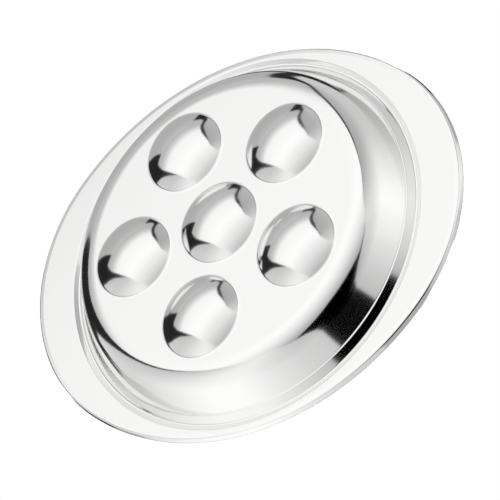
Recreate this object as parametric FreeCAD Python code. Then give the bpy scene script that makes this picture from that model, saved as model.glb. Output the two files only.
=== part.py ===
"""Escargot plate pressed from one sheet of stainless steel.

The plate stands the way it is used, with its six hollows open upwards. Z is up and the origin is under
the middle of the plate, level with the bottoms of the hollows. X runs along the long axis of the oval
rim. Sizes are in millimetres and angles in degrees. Every size along the sheet is taken on its
underside, and the sheet's thickness lies above it.
"""

import FreeCAD, Part
import math
import os

# The sheet
sheet = 0.8

# The hollows: one in the middle and a ring of them round it
ring_count = 5
ring_turn = 177.0
hollow_mouth = 38.9
hollow_depth = 6.2
hollow_lip = 2.8
hollow_gap = 4.1

# The dish: a flat floor, a rounded corner and a steep wall
floor_margin = 0.15
dish_depth = 18.1
corner_bend = 14.4
wall_slope = 63.0

# The narrow ledge at the top of the wall
ledge_drop = 1.4
ledge_width = 0.3
ledge_slope = 16.0
ledge_bend = 0.6

# The raised ridge round the mouth of the dish
ridge_height = 1.4
ridge_slope = 43.0
ridge_bend = 1.2
ridge_back_slope = 34.0
ridge_foot_bend = 1.0

# The flat part of the oval rim: its width at the ends and at the sides, and half the angle of an end
rim_at_ends = 15.4
rim_at_sides = 0.5
rim_end_angle = 46.0

# The rim's edge: a slight rise and then a curl, turned up and in
edge_bend = 3.0
edge_slope = 6.0
edge_run = 0.8
curl_radius = 2.0
curl_turn = 114.0

# Where the plate stands and what it turns about
origin = FreeCAD.Vector()
up = FreeCAD.Vector(0.0, 0.0, 1.0)


def sine(angle):
    return math.sin(math.radians(angle))


def cosine(angle):
    return math.cos(math.radians(angle))


def run(length):
    """A straight stretch of the sheet."""
    return ("run", length, 0.0)


def bend(radius, turn):
    """A bent stretch. A positive turn goes up and a negative one goes down."""
    return ("bend", radius, turn)


def bend_climb(radius, start, end):
    """How far the sheet climbs in a bend from one slope to another."""
    side = math.copysign(1.0, end - start)
    return side * radius * (cosine(start) - cosine(end))


def bend_reach(radius, start, end):
    """How far outwards the sheet goes in a bend from one slope to another."""
    side = math.copysign(1.0, end - start)
    return side * radius * (sine(end) - sine(start))


def moved(place, kind, size, turn):
    """The point and slope that a stretch reaches from the point and slope where it starts."""
    (across, height), slope = place
    if kind == "run":
        return ((across + size * cosine(slope), height + size * sine(slope)), slope)
    across += bend_reach(size, slope, slope + turn)
    height += bend_climb(size, slope, slope + turn)
    return ((across, height), slope + turn)


def trace(start, steps):
    """Follow the underside outwards from a start where the sheet is level.

    Each stretch gives the places that it passes: its start, its middle if it is bent, and its end.
    """
    place = (start, 0.0)
    stretches = []
    for kind, size, turn in steps:
        passed = [place]
        if kind == "bend":
            passed.append(moved(place, kind, size, turn / 2.0))
        place = moved(place, kind, size, turn)
        passed.append(place)
        stretches.append(passed)
    return stretches


def raised(place, thickness):
    """The point at a thickness above a place on the underside, square to the sheet."""
    (across, height), slope = place
    return FreeCAD.Vector(across - thickness * sine(slope), 0.0, height + thickness * cosine(slope))


def surface_edges(stretches, thickness):
    """The lines and arcs that one surface of the sheet shows in its section."""
    edges = []
    for passed in stretches:
        points = [raised(place, thickness) for place in passed]
        curve = Part.LineSegment(*points) if len(points) == 2 else Part.Arc(*points)
        edges.append(curve.toShape())
    return edges


def section(stretches):
    """The cut face of the sheet along the stretches that were traced."""
    ends = [stretches[0][0], stretches[-1][-1]]
    cuts = [Part.LineSegment(raised(end, 0.0), raised(end, sheet)).toShape() for end in ends]
    outline = surface_edges(stretches, 0.0) + surface_edges(stretches, sheet) + cuts
    return Part.Face(Part.Wire(Part.__sortEdges__(outline)))


# Sizes that follow from the ones above
mouth_radius = hollow_mouth / 2.0
ring_radius = (hollow_mouth + hollow_gap) / min(1.0, 2.0 * sine(180.0 / ring_count))
floor_radius = ring_radius + mouth_radius + floor_margin
floor_height = hollow_depth
rim_height = floor_height + dish_depth


def hollow_stretches():
    """Half a hollow: a round bowl and the lip that leads it into the floor."""
    steepest = 2.0 * math.degrees(math.atan2(hollow_depth, mouth_radius))
    bowl_radius = mouth_radius / sine(steepest) - hollow_lip
    return trace((0.0, 0.0), [bend(bowl_radius, steepest), bend(hollow_lip, -steepest)])


def wall_run():
    """The straight part of the wall, between the corner and the ledge."""
    climb = dish_depth - ledge_drop
    climb -= bend_climb(corner_bend, 0.0, wall_slope)
    climb -= bend_climb(ledge_bend, wall_slope, ledge_slope)
    return climb / sine(wall_slope)


def ridge_face_run():
    """The straight part of the ridge's inner face, which climbs from the ledge to the crest."""
    climb = ledge_drop + ridge_height
    climb -= ledge_width * sine(ledge_slope)
    climb -= bend_climb(ledge_bend, ledge_slope, ridge_slope)
    climb -= bend_climb(ridge_bend, ridge_slope, 0.0)
    return climb / sine(ridge_slope)


def ridge_back_run():
    """The straight part of the ridge's back, which falls from the crest to the flat rim."""
    fall = ridge_height
    fall += bend_climb(ridge_bend, 0.0, -ridge_back_slope)
    fall += bend_climb(ridge_foot_bend, -ridge_back_slope, 0.0)
    return fall / sine(ridge_back_slope)


def dish_stretches():
    """Half the dish: floor, corner, wall, ledge and ridge, out to where the rim is flat."""
    steps = [
        run(floor_radius),
        bend(corner_bend, wall_slope),
        run(wall_run()),
        bend(ledge_bend, ledge_slope - wall_slope),
        run(ledge_width),
        bend(ledge_bend, ridge_slope - ledge_slope),
        run(ridge_face_run()),
        bend(ridge_bend, -ridge_back_slope - ridge_slope),
        run(ridge_back_run()),
        bend(ridge_foot_bend, ridge_back_slope),
    ]
    return trace((0.0, floor_height), steps)


def edge_stretches(start_radius):
    """The rim's edge: the slight rise and the curl, from where the rim stops being flat."""
    steps = [bend(edge_bend, edge_slope), run(edge_run), bend(curl_radius, curl_turn)]
    return trace((start_radius, rim_height), steps)


def rim_arcs(half_length, half_width):
    """The four arcs of an oval: for each its centre, its radius, its first angle and its sweep."""
    spread = (half_length - half_width) / (sine(rim_end_angle) + cosine(rim_end_angle) - 1.0)
    end_radius = half_length - spread * cosine(rim_end_angle)
    side_radius = half_width + spread * sine(rim_end_angle)
    end_centre = FreeCAD.Vector(half_length - end_radius, 0.0, 0.0)
    side_centre = FreeCAD.Vector(0.0, half_width - side_radius, 0.0)
    end_sweep = 2.0 * rim_end_angle
    side_sweep = 180.0 - end_sweep
    return [
        (end_centre, end_radius, -rim_end_angle, end_sweep),
        (side_centre, side_radius, rim_end_angle, side_sweep),
        (-end_centre, end_radius, 180.0 - rim_end_angle, end_sweep),
        (-side_centre, side_radius, 180.0 + rim_end_angle, side_sweep),
    ]


def hollowed_dish():
    """The dish turned from its section, with each hollow let into a hole of its own size."""
    dish = section(dish_stretches()).revolve(origin, up, 360.0)
    hollow = section(hollow_stretches()).revolve(origin, up, 360.0)
    mouth = Part.makeCylinder(mouth_radius, 2.0 * sheet, FreeCAD.Vector(0.0, 0.0, floor_height - sheet / 2.0))
    places = [origin]
    for number in range(ring_count):
        angle = ring_turn + number * 360.0 / ring_count
        places.append(ring_radius * FreeCAD.Vector(cosine(angle), sine(angle), 0.0))
    mouths = [mouth.translated(place) for place in places]
    hollows = [hollow.translated(place) for place in places]
    return dish.cut(mouths).fuse(hollows)


def flat_rim(arcs, dish_mouth):
    """The flat part of the rim, from the foot of the ridge to the edge."""
    outline = []
    for centre, radius, first, sweep in arcs:
        circle = Part.Circle(centre, up, radius)
        arc = Part.ArcOfCircle(circle, math.radians(first), math.radians(first + sweep))
        outline.append(arc.toShape())
    inside = Part.Wire([Part.Circle(origin, up, dish_mouth).toShape()])
    face = Part.makeFace([Part.Wire(outline), inside], "Part::FaceMakerBullseye")
    return face.extrude(sheet * up).translated(rim_height * up)


def curled_edge(centre, radius, first, sweep):
    """The rim's edge along one arc of the oval."""
    edge = section(edge_stretches(radius)).revolve(origin, up, sweep)
    edge.rotate(origin, up, first)
    return edge.translated(centre)


def plate():
    """The whole plate: the dish with its hollows, the flat rim and the curled edge."""
    dish_mouth = dish_stretches()[-1][-1][0][0]
    arcs = rim_arcs(dish_mouth + rim_at_ends, dish_mouth + rim_at_sides)
    rim = [flat_rim(arcs, dish_mouth)] + [curled_edge(*arc) for arc in arcs]
    return hollowed_dish().fuse(rim).removeSplitter()


def main():
    os.makedirs("parts", exist_ok=True)
    shape = plate()
    solid = shape.Solids[0]
    solid.exportStep("parts/plate.step")
    print("plate", len(shape.Solids), "solid,", len(solid.Faces), "faces, valid", solid.isValid())
    print("volume", round(solid.Volume))


main()
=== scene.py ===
"""Looks and stage for an escargot plate pressed from polished stainless steel.

The plate stands the way it is used, with its hollows open upwards. The camera looks at its underside
from below, through a floor that is clear from that side, so the hollows show as round domes.
"""

import math

import bpy
import numpy as np
from bpy.props import (
    FloatProperty,
    FloatVectorProperty,
    IntProperty,
    PointerProperty,
)
from mathutils import Matrix, Vector
from mathutils.geometry import delaunay_2d_cdt


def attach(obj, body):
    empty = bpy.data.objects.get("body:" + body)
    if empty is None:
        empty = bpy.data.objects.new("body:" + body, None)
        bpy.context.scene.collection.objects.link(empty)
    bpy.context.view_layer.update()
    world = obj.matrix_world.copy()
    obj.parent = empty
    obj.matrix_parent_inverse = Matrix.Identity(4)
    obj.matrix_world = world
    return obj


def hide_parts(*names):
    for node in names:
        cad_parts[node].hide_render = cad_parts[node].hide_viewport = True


bl_info = {
    "name": "Escargot Plate",
    "version": (1, 0, 0),
    "blender": (4, 5, 0),
    "location": "View3D > Sidebar > Escargot Plate",
    "description": "Builds an escargot plate of polished steel and the stage that it is seen on",
    "category": "Object",
}

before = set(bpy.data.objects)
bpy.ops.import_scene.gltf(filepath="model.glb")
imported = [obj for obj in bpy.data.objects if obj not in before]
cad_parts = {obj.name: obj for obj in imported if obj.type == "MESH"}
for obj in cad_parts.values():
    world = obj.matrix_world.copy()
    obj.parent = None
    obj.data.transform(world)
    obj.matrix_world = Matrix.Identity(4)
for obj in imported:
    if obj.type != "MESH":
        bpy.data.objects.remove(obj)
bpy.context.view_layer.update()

MM = 0.001

# How fine the sheet's mesh is: points round a hollow and round the oval, and the largest turn in degrees
# from one row of points to the next
HOLLOW_POINTS = 80
OVAL_POINTS = 320
HOLLOW_FACET = 2.9
DISH_FACET = 4.0
EDGE_FACET = 7.0

# Strips that round off the sheet's free edge
ROUND_STRIPS = 6

# Points of the sheet that lie closer together than this are made one
SAME_POINT = 0.002 * MM

# The sockets of a Mix node that count when it mixes colours
MIX_FIRST, MIX_SECOND, MIX_RESULT = 6, 7, 2

# The values that most of a noise lies between
NOISE_LOW, NOISE_HIGH = 0.3, 0.7

# The camera's sensor in millimetres, how far it sees in metres, and the corners of the round floor
SENSOR_WIDTH = 36.0
FARTHEST_VIEW = 100.0
FLOOR_CORNERS = 64

# The lamps over the plate: place and size in metres, and power in watts
LAMPS = {
    "key_lamp": {"place": (-0.5, -0.6, 1.1), "size": 0.9, "power": 9.0},
    "fill_lamp": {"place": (0.9, 0.3, 0.8), "size": 0.5, "power": 3.0},
}

# What the steel mirrors of the air, from straight below to straight above: position and strength
MIRRORED_AIR = [(0.0, 0.0), (0.5, 0.0), (0.53, 0.3), (0.62, 0.5), (0.76, 0.4), (0.88, 0.4), (1.0, 1.0)]

# The light box round the plate's underside. Its places are millimetres from the middle of the dish's floor:
# to the camera's side, near the camera, and below the floor. The stage's box scale enlarges all of them.
# Lights have stops of place and grey, from 0 to 255 as it shows in the steel, and shares that dim them.
# Walls have rows of bearing from the camera's side axis, distance, and the elevation that they reach, seen
# from the floor's middle with the plate lying face down.
OVERHEAD_BELOW = 450
OVERHEAD_GREYS = [
    (-1700, 180), (-1240, 182), (-868, 186), (-693, 198), (-560, 221), (-475, 242), (-405, 247), (-310, 249),
    (-220, 252), (-120, 255), (-50, 250), (20, 240), (84, 230), (164, 212), (232, 196), (330, 172), (420, 165),
]
OVERHEAD_OUTLINE = [
    (-590, -1300), (-520, -921), (-458, -663), (-368, -421), (-308, -241), (-282, -167), (-262, -94),
    (-255, 0), (-239, 87), (-221, 155), (-222, 264), (-203, 367), (-70, 358), (30, 338), (210, 363),
    (310, 370), (362, 254), (349, 127), (303, 0), (310, -55), (330, -120), (350, -218), (385, -346),
    (455, -488), (574, -672), (795, -947), (1057, -1305), (1214, -1734), (861, -1934), (-350, -1240),
]
BACK_NEAR = -870
BACK_GREYS = [(-400, 176), (0, 172), (155, 179), (320, 185), (324, 186), (332, 208), (351, 208)]
BACK_OUTLINE = [
    (-215, -400), (472, -400), (472, 150), (462, 220), (436, 300), (415, 330), (368, 351), (-215, 351),
]
WALL_START = -170
LEFT_GREYS = [(-260, 254), (33, 253), (138, 245), (319, 238), (500, 232), (700, 225)]
LEFT_SHARES = [
    (-680, 0.68), (-172, 0.68), (-97, 0.74), (-30, 0.86), (50, 1.0), (120, 1.0), (186, 0.88), (260, 0.78),
    (330, 0.7), (393, 0.62),
]
LEFT_WALL = [
    (233, 900, 0.5), (231, 900, 6), (229.5, 900, 12), (228.5, 900, 18), (227.5, 900, 24), (224, 650, 34.5),
    (218, 470, 44.5), (210, 345, 53.5), (200, 285, 59), (180, 255, 61.5), (160, 255, 61.5), (145, 270, 59.5),
    (130, 345, 52), (119, 400, 46), (110, 400, 38), (103, 400, 25), (101, 400, 10),
]
RIGHT_GREYS = [(-260, 255), (60, 253), (138, 240), (231, 227), (400, 218), (600, 210)]
RIGHT_SHARES = [
    (-700, 0.6), (-130, 0.58), (-58, 0.62), (0, 0.74), (100, 0.95), (170, 1.0), (280, 0.88), (369, 0.68),
    (423, 0.54),
]
RIGHT_WALL = [
    (-54, 800, 0.5), (-51.5, 800, 5), (-48.5, 800, 10), (-47, 800, 15), (-46, 800, 24), (-43, 700, 32),
    (-38, 560, 38), (-28, 430, 46.5), (-20, 380, 51), (-10, 335, 54.2), (0, 310, 56), (20, 375, 51),
    (35, 440, 44.5), (48, 450, 41), (60, 450, 33), (70, 450, 20), (73, 450, 5),
]
DARK_START = -2500
DARK_GREYS = [(-2500, 34), (2100, 34)]
DARK_ROOMS = {
    "dark_room_left": [(-140, 2500, 40), (-118, 2500, 40), (-95, 2500, 40)],
    "dark_room_right": [(-75, 2500, 40), (-60, 2500, 40), (-42, 2500, 40)],
}


def length(name, description, millimetres, lowest=0.0):
    """A size in metres, written in millimetres."""
    return FloatProperty(
        name=name, description=description, default=millimetres * MM, min=lowest * MM, unit="LENGTH",
        precision=5,
    )


def angle(name, description, degrees):
    """An angle, written in degrees."""
    return FloatProperty(name=name, description=description, default=math.radians(degrees), subtype="ANGLE")


def share(name, description, default):
    """A value from 0 to 1."""
    return FloatProperty(name=name, description=description, default=default, min=0.0, max=1.0)


def colour(name, description, default):
    """A colour in linear light."""
    return FloatVectorProperty(
        name=name, description=description, default=default, subtype="COLOR", size=3, min=0.0, max=1.0
    )


class PlateSizes(bpy.types.PropertyGroup):
    """The sizes that the sheet is pressed to, all taken on its underside."""

    sheet: length("Sheet", "Thickness of the steel sheet", 0.8, 0.1)
    ring_count: IntProperty(
        name="Hollows in Ring", description="Hollows round the middle one", default=5, min=2
    )
    ring_turn: angle("Ring Turn", "Direction of the ring's first hollow, from the long axis", 177.0)
    hollow_mouth: length("Hollow Mouth", "Width of a hollow at the floor", 38.9, 1.0)
    hollow_depth: length("Hollow Depth", "Depth of a hollow below the floor", 6.2, 0.5)
    hollow_lip: length("Hollow Lip", "Radius of the bend that leads a hollow into the floor", 2.8, 0.5)
    hollow_gap: length("Hollow Gap", "Flat floor between two hollows", 4.1)
    floor_margin: length("Floor Margin", "Flat floor between the ring of hollows and the corner", 0.15)
    dish_depth: length("Dish Depth", "Depth of the floor below the rim", 18.1, 1.0)
    corner_bend: length("Corner Bend", "Radius of the corner between floor and wall", 14.4, 0.5)
    wall_slope: angle("Wall Slope", "Slope of the dish's wall", 63.0)
    ledge_drop: length("Ledge Drop", "Height of the rim above the ledge's inner side", 1.4)
    ledge_width: length("Ledge Width", "Straight part of the ledge", 0.3)
    ledge_slope: angle("Ledge Slope", "Slope of the ledge", 16.0)
    ledge_bend: length("Ledge Bend", "Radius of the bends on both sides of the ledge", 0.6, 0.1)
    ridge_height: length("Ridge Height", "Height of the ridge's crest above the rim", 1.4)
    ridge_slope: angle("Ridge Slope", "Slope of the ridge's inner face", 43.0)
    ridge_bend: length("Ridge Bend", "Radius of the ridge's crest", 1.2, 0.1)
    ridge_back_slope: angle("Ridge Back Slope", "Slope of the ridge's back", 34.0)
    ridge_foot_bend: length("Ridge Foot Bend", "Radius of the bend from the ridge's back to the rim", 1.0, 0.1)
    rim_at_ends: length("Rim at Ends", "Flat width of the rim at the ends of the oval", 15.4)
    rim_at_sides: length("Rim at Sides", "Flat width of the rim at the sides of the oval", 0.5)
    rim_end_angle: angle("Rim End Angle", "Half the angle that an end arc of the oval covers", 46.0)
    edge_bend: length("Edge Bend", "Radius of the bend where the rim starts to rise", 3.0, 0.1)
    edge_slope: angle("Edge Slope", "Slope of the rising edge", 6.0)
    edge_run: length("Edge Run", "Straight part of the rising edge", 1.36)
    curl_bend: length("Curl Bend", "Radius of the bend where the curl starts", 0.9, 0.2)
    curl_slope: angle("Curl Slope", "Slope of the curl's straight side", 74.0)
    curl_side: length("Curl Side", "Straight side of the curl", 1.55)
    curl_end_bend: length("Curl End Bend", "Radius of the bend where the curl turns in", 1.0, 0.2)
    curl_turn: angle("Curl Turn", "Angle that the whole curl turns through", 114.0)


class SteelFinish(bpy.types.PropertyGroup):
    """The polish of the steel."""

    steel_colour: colour("Steel Colour", "Colour of the bare polished steel", (0.87, 0.87, 0.865))
    darkest_tone: share("Darkest Tone", "Share of the steel's colour that its dullest places keep", 0.985)
    roughness: share("Roughness", "Roughness of clean polished steel", 0.1)
    smear_roughness: share("Smear Roughness", "Roughness where the polish is dulled by hands", 0.14)
    smear_size: length("Smear Size", "Size of the dulled patches", 30.0, 1.0)
    smear_start: share("Smear Start", "Value of the smears' noise where the polish starts to dull", 0.45)
    smear_end: share("Smear End", "Value of the smears' noise where the polish is dullest", 0.75)
    polish_line_width: length("Polish Line Width", "Width of the finest polishing lines", 0.12, 0.01)
    polish_line_depth: length("Polish Line Depth", "Depth of the polishing lines", 0.0002)
    polish_line_squeeze: share("Polish Line Squeeze", "Width of a polishing line over its length", 0.02)
    press_wave_size: length("Press Wave Size", "Length of the waves left in flat steel by the press", 28.0, 1.0)
    press_wave_depth: length("Press Wave Depth", "Depth of the waves left in flat steel by the press", 0.004)


class StageSettings(bpy.types.PropertyGroup):
    """The floor, the light and the camera."""

    floor_radius: length("Floor Radius", "Radius of the floor", 20000.0, 100.0)
    floor_colour: colour("Floor Colour", "Colour of the floor", (0.9, 0.9, 0.9))
    plain_air: share("Plain Air", "Strength of the soft light that the air gives to all but the steel", 0.6)
    box_scale: FloatProperty(
        name="Box Scale", description="How many times the light box is larger than its plan", default=2.0,
        min=1.0,
    )
    camera_distance: length("Camera Distance", "Distance from the camera to the dish's floor", 1357.7, 100.0)
    camera_turn: angle("Camera Turn", "Turn of the camera's side from the short axis of the rim", -40.82)
    camera_drop: angle("Camera Drop", "Angle of the view from straight below", 42.008)
    camera_roll: angle("Camera Roll", "Roll of the camera", 52.0)
    camera_lens: FloatProperty(
        name="Camera Lens", description="Focal length for a 36 mm sensor", default=232.6, min=1.0, unit="CAMERA"
    )
    aim_right: FloatProperty(
        name="Aim Right", description="Share of the picture's width that the dish stands left of its middle",
        default=0.0607,
    )
    aim_down: FloatProperty(
        name="Aim Down", description="Share of the picture's width that the dish stands above its middle",
        default=0.0546,
    )


# The pressed sheet

def run(size):
    """A straight stretch of the sheet."""
    return (size, 0.0)


def bend(radius, turn):
    """A bent stretch. A positive turn goes up and a negative one goes down."""
    return (radius, turn)


def bend_climb(radius, start, end):
    """How far the sheet climbs in a bend from one slope to another."""
    side = math.copysign(1.0, end - start)
    return side * radius * (math.cos(start) - math.cos(end))


def bend_reach(radius, start, end):
    """How far outwards the sheet goes in a bend from one slope to another."""
    side = math.copysign(1.0, end - start)
    return side * radius * (math.sin(end) - math.sin(start))


def trace(across, height, steps, finest):
    """The underside's points outwards from a level start, as rows of distance, height and slope."""
    slope = 0.0
    rows = [(across, height, slope)]
    for size, turn in steps:
        parts = max(1, round(abs(turn) / finest))
        for _ in range(parts):
            if turn:
                after = slope + turn / parts
                across += bend_reach(size, slope, after)
                height += bend_climb(size, slope, after)
                slope = after
            else:
                across += size * math.cos(slope)
                height += size * math.sin(slope)
            rows.append((across, height, slope))
    return np.array(rows)


def hollow_section(s):
    """Half a hollow: a round bowl and the lip that leads it into the floor."""
    mouth = s.hollow_mouth / 2.0
    steepest = 2.0 * math.atan2(s.hollow_depth, mouth)
    bowl = mouth / math.sin(steepest) - s.hollow_lip
    return trace(0.0, 0.0, [bend(bowl, steepest), bend(s.hollow_lip, -steepest)], math.radians(HOLLOW_FACET))


def dish_section(s):
    """Half the dish from the floor's edge: corner, wall, ledge and ridge, to where the rim is flat."""
    wall = s.dish_depth - s.ledge_drop - bend_climb(s.corner_bend, 0.0, s.wall_slope)
    wall -= bend_climb(s.ledge_bend, s.wall_slope, s.ledge_slope)
    face = s.ledge_drop + s.ridge_height - s.ledge_width * math.sin(s.ledge_slope)
    face -= bend_climb(s.ledge_bend, s.ledge_slope, s.ridge_slope)
    face -= bend_climb(s.ridge_bend, s.ridge_slope, 0.0)
    back = s.ridge_height + bend_climb(s.ridge_bend, 0.0, -s.ridge_back_slope)
    back += bend_climb(s.ridge_foot_bend, -s.ridge_back_slope, 0.0)
    steps = [
        bend(s.corner_bend, s.wall_slope),
        run(wall / math.sin(s.wall_slope)),
        bend(s.ledge_bend, s.ledge_slope - s.wall_slope),
        run(s.ledge_width),
        bend(s.ledge_bend, s.ridge_slope - s.ledge_slope),
        run(face / math.sin(s.ridge_slope)),
        bend(s.ridge_bend, -s.ridge_back_slope - s.ridge_slope),
        run(back / math.sin(s.ridge_back_slope)),
        bend(s.ridge_foot_bend, s.ridge_back_slope),
    ]
    return trace(floor_radius(s), s.hollow_depth, steps, math.radians(DISH_FACET))


def edge_section(s):
    """The rim's edge: the slight rise and the curl, less the half sheet that rounds off its end."""
    rise = s.curl_slope - s.edge_slope
    steps = [
        bend(s.edge_bend, s.edge_slope),
        run(s.edge_run),
        bend(s.curl_bend, rise),
        run(s.curl_side),
        bend(s.curl_end_bend, s.curl_turn - rise - s.sheet / 2.0 / s.curl_end_bend),
    ]
    return trace(0.0, s.hollow_depth + s.dish_depth, steps, math.radians(EDGE_FACET))


def ring_radius(s):
    """Distance from the middle of the plate to the middles of the ring's hollows."""
    return (s.hollow_mouth + s.hollow_gap) / min(1.0, 2.0 * math.sin(math.pi / s.ring_count))


def floor_radius(s):
    """Radius of the flat floor."""
    return ring_radius(s) + s.hollow_mouth / 2.0 + s.floor_margin


def hollow_middles(s):
    """The middles of all the hollows."""
    turns = s.ring_turn + np.arange(s.ring_count) * 2.0 * math.pi / s.ring_count
    ring = ring_radius(s) * np.column_stack([np.cos(turns), np.sin(turns)])
    return np.vstack([[(0.0, 0.0)], ring])


def directions(count):
    """Unit vectors all the way round."""
    turns = np.arange(count) * 2.0 * math.pi / count
    return np.column_stack([np.cos(turns), np.sin(turns)])


def oval(half_length, half_width, end_angle, ways):
    """Points on an oval of four arcs, one for each direction that its edge faces."""
    rounding = 1e-9
    spread = (half_length - half_width) / (math.sin(end_angle) + math.cos(end_angle) - 1.0)
    end_radius = half_length - spread * math.cos(end_angle)
    side_radius = half_width + spread * math.sin(end_angle)
    at_end = np.abs(ways[:, 0]) >= math.cos(end_angle) - rounding
    centre_x = np.where(at_end, np.sign(ways[:, 0]) * (half_length - end_radius), 0.0)
    centre_y = np.where(at_end, 0.0, np.sign(ways[:, 1]) * (half_width - side_radius))
    radius = np.where(at_end, end_radius, side_radius)
    return np.column_stack([centre_x, centre_y]) + radius[:, None] * ways


def rows_round(rows, ways, inner):
    """A section carried round: each row's points and the way the sheet's upper side faces there."""
    points, facing = [], []
    for across, height, slope in rows:
        flat = inner + across * ways
        points.append(np.column_stack([flat, np.full(len(ways), height)]))
        side = -math.sin(slope) * ways
        facing.append(np.column_stack([side, np.full(len(ways), math.cos(slope))]))
    return np.vstack(points), np.vstack(facing)


def strips(rows, count):
    """Quads between neighbouring rows of points that run all the way round."""
    ring = np.arange(count)
    after = np.roll(ring, -1)
    quads = []
    for row in range(rows - 1):
        low, high = row * count, (row + 1) * count
        quads.append(np.column_stack([low + ring, high + ring, high + after, low + after]))
    return np.vstack(quads).tolist()


def sheet_mesh(name, points, facing, faces):
    """A mesh of the sheet's underside, which keeps the way that the upper side faces at each point."""
    mesh = bpy.data.meshes.new(name)
    mesh.from_pydata(points.tolist(), [], faces)
    kept = mesh.attributes.new("facing", "FLOAT_VECTOR", "POINT")
    kept.data.foreach_set("vector", np.asarray(facing, np.float32).ravel())
    mesh.validate()
    return mesh


def hollow_mesh(s):
    """One hollow, with its middle at the origin and its mouth at the floor's height."""
    rows = hollow_section(s)
    points, facing = rows_round(rows[1:], directions(HOLLOW_POINTS), np.zeros((HOLLOW_POINTS, 2)))
    points = np.vstack([points, [(0.0, 0.0, rows[0][1])]])
    facing = np.vstack([facing, [(0.0, 0.0, 1.0)]])
    ring = np.arange(HOLLOW_POINTS)
    middle = len(points) - 1
    cap = [[middle, int(a), int(b)] for a, b in zip(ring, np.roll(ring, -1))]
    return sheet_mesh("hollow", points, facing, cap + strips(len(rows) - 1, HOLLOW_POINTS))


def floor_faces(s, outline):
    """The flat floor between its outline and the mouths of the hollows, as points and triangles.

    A triangle is inside a mouth if its middle is nearer to the hollow's middle than the mouth's flat sides.
    """
    middles = hollow_middles(s)
    mouth = s.hollow_mouth / 2.0
    nearest = mouth * math.cos(math.pi / HOLLOW_POINTS)
    mouths = [middle + mouth * directions(HOLLOW_POINTS) for middle in middles]
    flat = np.vstack([outline] + mouths)
    edges, first = [], 0
    for loop in [outline] + mouths:
        edges += [(first + i, first + (i + 1) % len(loop)) for i in range(len(loop))]
        first += len(loop)
    inside_only, snap = 1, 1e-6
    found = delaunay_2d_cdt([Vector(p) for p in flat / MM], edges, [], inside_only, snap)
    points = np.array([tuple(p) for p in found[0]]) * MM
    triangles = []
    for face in found[2]:
        middle = points[list(face)].mean(axis=0)
        if np.linalg.norm(middles - middle, axis=1).min() > nearest:
            triangles.append(list(face))
    return points, triangles


def dish_mesh(s):
    """The floor, the wall, the ridge, the flat rim and the curled edge, with holes for the hollows."""
    ways = directions(OVAL_POINTS)
    dish = dish_section(s)
    edge = edge_section(s)
    points, facing = rows_round(dish, ways, np.zeros((OVAL_POINTS, 2)))
    outline = oval(dish[-1][0] + s.rim_at_ends, dish[-1][0] + s.rim_at_sides, s.rim_end_angle, ways)
    edge_points, edge_facing = rows_round(edge, ways, outline)
    faces = strips(len(dish) + len(edge), OVAL_POINTS)
    flat, triangles = floor_faces(s, floor_radius(s) * ways)
    first = len(points) + len(edge_points)
    level = np.column_stack([flat, np.full(len(flat), s.hollow_depth)])
    points = np.vstack([points, edge_points, level])
    facing = np.vstack([facing, edge_facing, np.tile([(0.0, 0.0, 1.0)], (len(flat), 1))])
    faces += [[first + i for i in triangle] for triangle in triangles]
    return sheet_mesh("dish", points, facing, faces)


def hollows_tree():
    """Geometry Nodes that set one hollow in the middle and a ring of them round it."""
    tree = bpy.data.node_groups.new("Hollows in the Floor", "GeometryNodeTree")
    tree.is_modifier = True
    face = tree.interface
    face.new_socket("Geometry", in_out="INPUT", socket_type="NodeSocketGeometry")
    inputs = [
        ("Hollow", "NodeSocketObject"),
        ("Count", "NodeSocketInt"),
        ("Ring Radius", "NodeSocketFloat"),
        ("Ring Turn", "NodeSocketFloat"),
    ]
    for name, kind in inputs:
        face.new_socket(name, in_out="INPUT", socket_type=kind)
    face.new_socket("Geometry", in_out="OUTPUT", socket_type="NodeSocketGeometry")
    nodes, links = tree.nodes, tree.links
    given = nodes.new("NodeGroupInput")
    ring = nodes.new("GeometryNodeMeshCircle")
    turned = nodes.new("GeometryNodeTransform")
    turn = nodes.new("ShaderNodeCombineXYZ")
    middle = nodes.new("GeometryNodeMeshLine")
    middle.inputs["Count"].default_value = 1
    places = nodes.new("GeometryNodeJoinGeometry")
    hollow = nodes.new("GeometryNodeObjectInfo")
    instances = nodes.new("GeometryNodeInstanceOnPoints")
    realized = nodes.new("GeometryNodeRealizeInstances")
    joined = nodes.new("GeometryNodeJoinGeometry")
    merged = nodes.new("GeometryNodeMergeByDistance")
    merged.inputs["Distance"].default_value = SAME_POINT
    result = nodes.new("NodeGroupOutput")
    links.new(given.outputs["Count"], ring.inputs["Vertices"])
    links.new(given.outputs["Ring Radius"], ring.inputs["Radius"])
    links.new(given.outputs["Ring Turn"], turn.inputs["Z"])
    links.new(ring.outputs["Mesh"], turned.inputs["Geometry"])
    links.new(turn.outputs["Vector"], turned.inputs["Rotation"])
    links.new(turned.outputs["Geometry"], places.inputs["Geometry"])
    links.new(middle.outputs["Mesh"], places.inputs["Geometry"])
    links.new(given.outputs["Hollow"], hollow.inputs["Object"])
    links.new(places.outputs["Geometry"], instances.inputs["Points"])
    links.new(hollow.outputs["Geometry"], instances.inputs["Instance"])
    links.new(instances.outputs["Instances"], realized.inputs["Geometry"])
    links.new(given.outputs["Geometry"], joined.inputs["Geometry"])
    links.new(realized.outputs["Geometry"], joined.inputs["Geometry"])
    links.new(joined.outputs["Geometry"], merged.inputs["Geometry"])
    links.new(merged.outputs["Geometry"], result.inputs["Geometry"])
    return tree


def set_inputs(modifier, values):
    """Sets a Geometry Nodes modifier's inputs by their names."""
    for item in modifier.node_group.interface.items_tree:
        if item.item_type == "SOCKET" and item.in_out == "INPUT" and item.name in values:
            modifier[item.identifier] = values[item.name]


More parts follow.
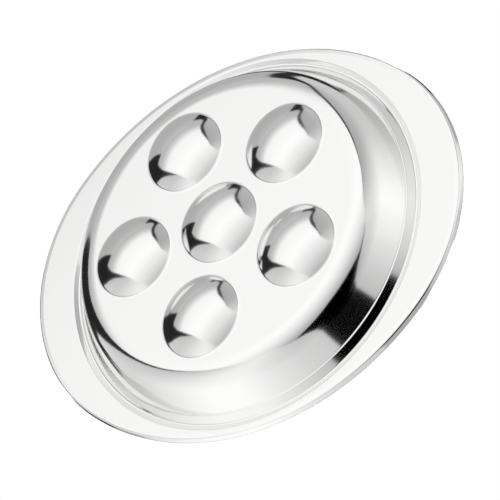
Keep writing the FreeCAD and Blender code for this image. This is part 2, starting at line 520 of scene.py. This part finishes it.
def pressed_underside(s):
    """The sheet's underside with all its hollows, as points, facings and faces."""
    hollow = bpy.data.objects.new("hollow", hollow_mesh(s))
    dish = bpy.data.objects.new("dish", dish_mesh(s))
    for piece in (hollow, dish):
        bpy.context.scene.collection.objects.link(piece)
    modifier = dish.modifiers.new("Hollows", "NODES")
    modifier.node_group = hollows_tree()
    set_inputs(modifier, {
        "Hollow": hollow,
        "Count": s.ring_count,
        "Ring Radius": ring_radius(s),
        "Ring Turn": s.ring_turn,
    })
    graph = bpy.context.evaluated_depsgraph_get()
    mesh = bpy.data.meshes.new_from_object(dish.evaluated_get(graph))
    points = np.zeros(len(mesh.vertices) * 3)
    mesh.vertices.foreach_get("co", points)
    facing = np.zeros(len(mesh.vertices) * 3)
    mesh.attributes["facing"].data.foreach_get("vector", facing)
    faces = [list(face.vertices) for face in mesh.polygons]
    for piece in (hollow, dish):
        bpy.data.objects.remove(piece)
    return points.reshape(-1, 3), facing.reshape(-1, 3), faces


def free_edge(faces):
    """The points along the sheet's one free edge, in order."""
    sides = dict.fromkeys((a, b) for face in faces for a, b in zip(face, face[1:] + face[:1]))
    following = {a: b for a, b in sides if (b, a) not in sides}
    start = next(iter(following))
    loop = [start]
    while following[loop[-1]] != start:
        loop.append(following[loop[-1]])
    return loop


def round_edge(points, facing, loop, sheet):
    """Rows of points that round off the free edge, from the underside over to the upper side."""
    base, up = points[loop], facing[loop]
    ahead = np.roll(base, -1, axis=0) - np.roll(base, 1, axis=0)
    out = np.cross(ahead, up)
    out /= np.linalg.norm(out, axis=1)[:, None]
    rows, normals = [], []
    for step in range(1, ROUND_STRIPS):
        turn = math.pi * step / ROUND_STRIPS
        normal = -math.cos(turn) * up + math.sin(turn) * out
        rows.append(base + sheet / 2.0 * (up + normal))
        normals.append(normal)
    return rows, normals


def plate_mesh(s, steel):
    """The closed sheet: its underside, its upper side one thickness above, and a rounded free edge."""
    points, facing, faces = pressed_underside(s)
    count = len(points)
    loop = free_edge(faces)
    rows, edge_normals = round_edge(points, facing, loop, s.sheet)
    under = [face[::-1] for face in faces]
    upper = [[count + i for i in face] for face in faces]
    rings = [loop]
    for number in range(len(rows)):
        rings.append([2 * count + number * len(loop) + i for i in range(len(loop))])
    rings.append([count + i for i in loop])
    rounding = []
    for low, high in zip(rings, rings[1:]):
        for i in range(len(loop)):
            j = (i + 1) % len(loop)
            rounding.append([low[i], low[j], high[j], high[i]])
    mesh = bpy.data.meshes.new("pressed_plate")
    places = np.vstack([points, points + s.sheet * facing] + rows)
    mesh.from_pydata(places.tolist(), [], under + upper + rounding)
    mesh.validate()
    mesh.shade_smooth()
    mesh.normals_split_custom_set_from_vertices(np.vstack([-facing, facing] + edge_normals).tolist())
    mesh.materials.append(steel)
    return mesh


# The polish

def wired(tree, kind, values=(), **links):
    """A new node with some inputs set and some linked, by the names of its inputs."""
    node = tree.nodes.new(kind)
    for name, value in dict(values).items():
        node.inputs[name].default_value = value
    for name, source in links.items():
        tree.links.new(source, node.inputs[name.replace("_", " ")])
    return node


def polished_steel(finish):
    """Bright stainless steel with fine polishing lines, faint smears and the waves of pressed sheet."""
    steel = bpy.data.materials.new("polished_steel")
    steel.use_nodes = True
    tree = steel.node_tree
    shader = tree.nodes["Principled BSDF"]
    shader.inputs["Metallic"].default_value = 1.0
    place = tree.nodes.new("ShaderNodeTexCoord").outputs["Object"]
    smears = wired(tree, "ShaderNodeTexNoise", {"Scale": 1.0 / finish.smear_size, "Detail": 4.0}, Vector=place)
    rough = wired(
        tree, "ShaderNodeMapRange",
        {
            "From Min": finish.smear_start, "From Max": finish.smear_end,
            "To Min": finish.roughness, "To Max": finish.smear_roughness,
        },
        Value=smears.outputs["Fac"],
    )
    tone = wired(
        tree, "ShaderNodeMapRange",
        {"From Min": NOISE_LOW, "From Max": NOISE_HIGH, "To Min": finish.darkest_tone, "To Max": 1.0},
        Value=smears.outputs["Fac"],
    )
    shade = wired(tree, "ShaderNodeMix", Factor=tone.outputs["Result"])
    shade.data_type = "RGBA"
    shade.inputs[MIX_FIRST].default_value = (0.0, 0.0, 0.0, 1.0)
    shade.inputs[MIX_SECOND].default_value = (*finish.steel_colour, 1.0)
    along = wired(tree, "ShaderNodeMapping", {"Scale": (finish.polish_line_squeeze, 1.0, 1.0)}, Vector=place)
    lines = wired(
        tree, "ShaderNodeTexNoise", {"Scale": 1.0 / finish.polish_line_width, "Detail": 2.0},
        Vector=along.outputs["Vector"],
    )
    waves = wired(
        tree, "ShaderNodeTexNoise", {"Scale": 1.0 / finish.press_wave_size, "Detail": 0.0}, Vector=place
    )
    fine = wired(
        tree, "ShaderNodeBump", {"Strength": 1.0, "Distance": finish.polish_line_depth},
        Height=lines.outputs["Fac"],
    )
    coarse = wired(
        tree, "ShaderNodeBump", {"Strength": 1.0, "Distance": finish.press_wave_depth},
        Height=waves.outputs["Fac"], Normal=fine.outputs["Normal"],
    )
    tree.links.new(shade.outputs[MIX_RESULT], shader.inputs["Base Color"])
    tree.links.new(rough.outputs["Result"], shader.inputs["Roughness"])
    tree.links.new(coarse.outputs["Normal"], shader.inputs["Normal"])
    return steel


# The stage

def linear(grey):
    """A grey from 0 to 255, as it shows, turned into the light that makes it."""
    shown = grey / 255.0
    return shown / 12.92 if shown <= 0.04045 else ((shown + 0.055) / 1.055) ** 2.4


def view_axes(stage):
    """The camera's side and near axes in the plane of the rim."""
    turn = stage.camera_turn
    side = Vector((math.cos(turn), math.sin(turn), 0.0))
    near = Vector((-math.sin(turn), math.cos(turn), 0.0))
    return side, near


def studio_point(stage, place):
    """A point of the studio, from its side, near and below distances in the light box's plan."""
    side, near = view_axes(stage)
    middle = Vector((0.0, 0.0, bpy.context.scene.plate_sizes.hollow_depth))
    away = place[0] * side + place[1] * near - place[2] * Vector((0.0, 0.0, 1.0))
    return middle + stage.box_scale * MM * away


def ramp_through(tree, place, stops):
    """The colour of a ramp at a place from 0 to 1, with stops of place and grey."""
    ramp = wired(tree, "ShaderNodeValToRGB", Fac=place)
    points = ramp.color_ramp.elements
    while len(points) < len(stops):
        points.new(0.5)
    for point, (position, grey) in zip(points, stops):
        point.position = position
        point.color = (grey, grey, grey, 1.0)
    return ramp.outputs["Color"]


def grey_along(tree, place, way, stops):
    """The grey at a place, which changes along one way through stops of distance and grey."""
    along = wired(tree, "ShaderNodeVectorMath", {1: way})
    along.operation = "DOT_PRODUCT"
    tree.links.new(place, along.inputs[0])
    low, high = stops[0][0], stops[-1][0]
    part = wired(tree, "ShaderNodeMapRange", {"From Min": low, "From Max": high}, Value=along.outputs["Value"])
    spaced = [((distance - low) / (high - low), grey) for distance, grey in stops]
    return ramp_through(tree, part.outputs["Result"], spaced)


def card_light(name, stage, axis, greys, across=None, shares=None):
    """Light whose grey changes along one axis of the light box, and fades by shares along another one."""
    light = bpy.data.materials.new(name)
    light.use_nodes = True
    tree = light.node_tree
    tree.nodes.clear()
    side, near = view_axes(stage)
    ways = {"side": side, "near": near, "below": Vector((0.0, 0.0, -1.0))}
    ways = {name: way / (stage.box_scale * MM) for name, way in ways.items()}
    place = tree.nodes.new("ShaderNodeTexCoord").outputs["Object"]
    steel = bpy.context.scene.steel_finish.steel_colour[0]
    lights = [(distance, linear(grey) / steel) for distance, grey in greys]
    shine = tree.nodes.new("ShaderNodeEmission")
    tree.links.new(grey_along(tree, place, ways[axis], lights), shine.inputs["Color"])
    if across:
        tree.links.new(grey_along(tree, place, ways[across], shares), shine.inputs["Strength"])
    out = tree.nodes.new("ShaderNodeOutputMaterial")
    tree.links.new(shine.outputs["Emission"], out.inputs["Surface"])
    return light


def card(name, stage, corners, faces, light):
    """A studio card that only the steel sees."""
    mesh = bpy.data.meshes.new(name)
    mesh.from_pydata([studio_point(stage, corner) for corner in corners], [], faces)
    mesh.materials.append(light)
    piece = bpy.data.objects.new(name, mesh)
    bpy.context.scene.collection.objects.link(piece)
    piece.visible_camera = False
    piece.visible_diffuse = False
    piece.visible_transmission = False
    piece.visible_volume_scatter = False
    piece.visible_shadow = False


def flat_card(name, stage, corners, light):
    """A flat card with one outline."""
    card(name, stage, corners, [tuple(range(len(corners)))], light)


def wall_card(name, stage, rows, start, light):
    """A curved upright card, from a level start to what its rows of bearing, distance and elevation reach."""
    starts, reaches = [], []
    for bearing, distance, elevation in rows:
        turn = math.radians(bearing)
        across, ahead = distance * math.cos(turn), distance * math.sin(turn)
        starts.append((across, ahead, start))
        reaches.append((across, ahead, distance * math.tan(math.radians(elevation))))
    count = len(rows)
    faces = [(i, i + 1, count + i + 1, count + i) for i in range(count - 1)]
    card(name, stage, starts + reaches, faces, light)


def set_cards(stage):
    """The light box below the plate, which the polished underside mirrors."""
    overhead = card_light("overhead_light", stage, "near", OVERHEAD_GREYS)
    flat_card("overhead", stage, [(x, y, OVERHEAD_BELOW) for x, y in OVERHEAD_OUTLINE], overhead)
    back = card_light("back_wall_light", stage, "below", BACK_GREYS)
    flat_card("back_wall", stage, [(x, BACK_NEAR, z) for x, z in BACK_OUTLINE], back)
    left = card_light("left_light", stage, "below", LEFT_GREYS, "near", LEFT_SHARES)
    wall_card("left_wall", stage, LEFT_WALL, WALL_START, left)
    right = card_light("right_light", stage, "below", RIGHT_GREYS, "near", RIGHT_SHARES)
    wall_card("right_wall", stage, RIGHT_WALL, WALL_START, right)
    dark = card_light("dark_room_light", stage, "below", DARK_GREYS)
    for name, rows in DARK_ROOMS.items():
        wall_card(name, stage, rows, DARK_START, dark)


def set_floor(stage):
    """A pale floor that is clear from below and to mirrored light, and keeps the plate's shadow."""
    corners = stage.floor_radius * directions(FLOOR_CORNERS)
    mesh = bpy.data.meshes.new("floor")
    mesh.from_pydata([(x, y, 0.0) for x, y in corners], [], [tuple(range(FLOOR_CORNERS))])
    paint = bpy.data.materials.new("floor_paint")
    paint.use_nodes = True
    tree = paint.node_tree
    tree.nodes.clear()
    facing = tree.nodes.new("ShaderNodeNewGeometry")
    path = tree.nodes.new("ShaderNodeLightPath")
    clear_to = tree.nodes.new("ShaderNodeMath")
    clear_to.operation = "MAXIMUM"
    tree.links.new(facing.outputs["Backfacing"], clear_to.inputs[0])
    tree.links.new(path.outputs["Is Glossy Ray"], clear_to.inputs[1])
    matt = wired(tree, "ShaderNodeBsdfDiffuse", {"Color": (*stage.floor_colour, 1.0)})
    clear = tree.nodes.new("ShaderNodeBsdfTransparent")
    mix = wired(tree, "ShaderNodeMixShader", Fac=clear_to.outputs["Value"])
    tree.links.new(matt.outputs["BSDF"], mix.inputs[1])
    tree.links.new(clear.outputs["BSDF"], mix.inputs[2])
    out = tree.nodes.new("ShaderNodeOutputMaterial")
    tree.links.new(mix.outputs["Shader"], out.inputs["Surface"])
    mesh.materials.append(paint)
    floor = bpy.data.objects.new("floor", mesh)
    bpy.context.scene.collection.objects.link(floor)


def set_world(stage):
    """White air for the camera and soft grey for other light, with nothing mirrored from below."""
    world = bpy.data.worlds.new("studio_air")
    bpy.context.scene.world = world
    world.use_nodes = True
    tree = world.node_tree
    tree.nodes.clear()
    way = tree.nodes.new("ShaderNodeTexCoord").outputs["Generated"]
    height = wired(tree, "ShaderNodeSeparateXYZ", Vector=way).outputs["Z"]
    part = wired(tree, "ShaderNodeMapRange", {"From Min": -1.0, "From Max": 1.0}, Value=height)
    grey = ramp_through(tree, part.outputs["Result"], MIRRORED_AIR)
    white = (1.0, 1.0, 1.0, 1.0)
    mirrored = wired(tree, "ShaderNodeBackground", {"Strength": 1.0}, Color=grey)
    plain = wired(tree, "ShaderNodeBackground", {"Color": white, "Strength": stage.plain_air})
    backdrop = wired(tree, "ShaderNodeBackground", {"Color": white, "Strength": 1.0})
    path = tree.nodes.new("ShaderNodeLightPath")
    steel = wired(tree, "ShaderNodeMixShader", Fac=path.outputs["Is Glossy Ray"])
    tree.links.new(plain.outputs["Background"], steel.inputs[1])
    tree.links.new(mirrored.outputs["Background"], steel.inputs[2])
    seen = wired(tree, "ShaderNodeMixShader", Fac=path.outputs["Is Camera Ray"])
    tree.links.new(steel.outputs["Shader"], seen.inputs[1])
    tree.links.new(backdrop.outputs["Background"], seen.inputs[2])
    out = tree.nodes.new("ShaderNodeOutputWorld")
    tree.links.new(seen.outputs["Shader"], out.inputs["Surface"])


def set_lamps():
    """A large soft lamp above the plate and a smaller one to the side."""
    for name, made in LAMPS.items():
        lamp = bpy.data.lights.new(name, "AREA")
        lamp.shape = "SQUARE"
        lamp.size = made["size"]
        lamp.energy = made["power"]
        stand = bpy.data.objects.new(name, lamp)
        stand.location = made["place"]
        stand.rotation_euler = (-Vector(made["place"])).to_track_quat("-Z", "Y").to_euler()
        bpy.context.scene.collection.objects.link(stand)


def set_camera(stage):
    """The camera below the plate, at the photograph's angle."""
    side, near = view_axes(stage)
    drop, roll = stage.camera_drop, stage.camera_roll
    up = Vector((0.0, 0.0, 1.0))
    back = math.sin(drop) * near - math.cos(drop) * up
    across = math.cos(drop) * near + math.sin(drop) * up
    right = math.cos(roll) * side + math.sin(roll) * across
    top = math.sin(roll) * side - math.cos(roll) * across
    middle = Vector((0.0, 0.0, bpy.context.scene.plate_sizes.hollow_depth))
    place = middle + stage.camera_distance * back
    span = SENSOR_WIDTH / stage.camera_lens
    aimed = (back - stage.aim_right * span * right + stage.aim_down * span * top).normalized()
    right = (right - right.dot(aimed) * aimed).normalized()
    top = aimed.cross(right)
    lens = bpy.data.cameras.new("camera")
    lens.lens = stage.camera_lens
    lens.sensor_width = SENSOR_WIDTH
    lens.clip_end = FARTHEST_VIEW
    camera = bpy.data.objects.new("camera", lens)
    turn = Matrix((right, top, aimed)).transposed().to_4x4()
    camera.matrix_world = Matrix.Translation(place) @ turn
    bpy.context.scene.collection.objects.link(camera)
    bpy.context.scene.camera = camera


class PLATE_OT_press(bpy.types.Operator):
    """Press the plate from one sheet of polished steel"""

    bl_idname = "plate.press"
    bl_label = "Press Plate"

    def execute(self, context):
        steel = polished_steel(context.scene.steel_finish)
        plate = bpy.data.objects.new("pressed_plate", plate_mesh(context.scene.plate_sizes, steel))
        context.scene.collection.objects.link(plate)
        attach(plate, "root")
        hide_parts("plate")
        return {"FINISHED"}


class PLATE_OT_stage(bpy.types.Operator):
    """Set the floor, the lights and the camera"""

    bl_idname = "plate.stage"
    bl_label = "Set Stage"

    def execute(self, context):
        stage = context.scene.plate_stage
        set_floor(stage)
        set_world(stage)
        set_lamps()
        set_cards(stage)
        set_camera(stage)
        context.scene.view_settings.view_transform = "Standard"
        return {"FINISHED"}


class PLATE_PT_panel(bpy.types.Panel):
    """The plate's sizes, its finish and its stage"""

    bl_idname = "PLATE_PT_panel"
    bl_label = "Escargot Plate"
    bl_space_type = "VIEW_3D"
    bl_region_type = "UI"
    bl_category = "Escargot Plate"

    def draw(self, context):
        scene = context.scene
        for group, operator in (
            (scene.plate_sizes, None),
            (scene.steel_finish, "plate.press"),
            (scene.plate_stage, "plate.stage"),
        ):
            box = self.layout.box()
            for name in group.__annotations__:
                box.prop(group, name)
            if operator:
                box.operator(operator)


classes = (PlateSizes, SteelFinish, StageSettings, PLATE_OT_press, PLATE_OT_stage, PLATE_PT_panel)


def register():
    for cls in classes:
        bpy.utils.register_class(cls)
    bpy.types.Scene.plate_sizes = PointerProperty(type=PlateSizes)
    bpy.types.Scene.steel_finish = PointerProperty(type=SteelFinish)
    bpy.types.Scene.plate_stage = PointerProperty(type=StageSettings)


def unregister():
    del bpy.types.Scene.plate_stage
    del bpy.types.Scene.steel_finish
    del bpy.types.Scene.plate_sizes
    for cls in reversed(classes):
        bpy.utils.unregister_class(cls)


def main():
    register()
    bpy.ops.plate.press()
    bpy.ops.plate.stage()


if __name__ == "__main__":
    main()
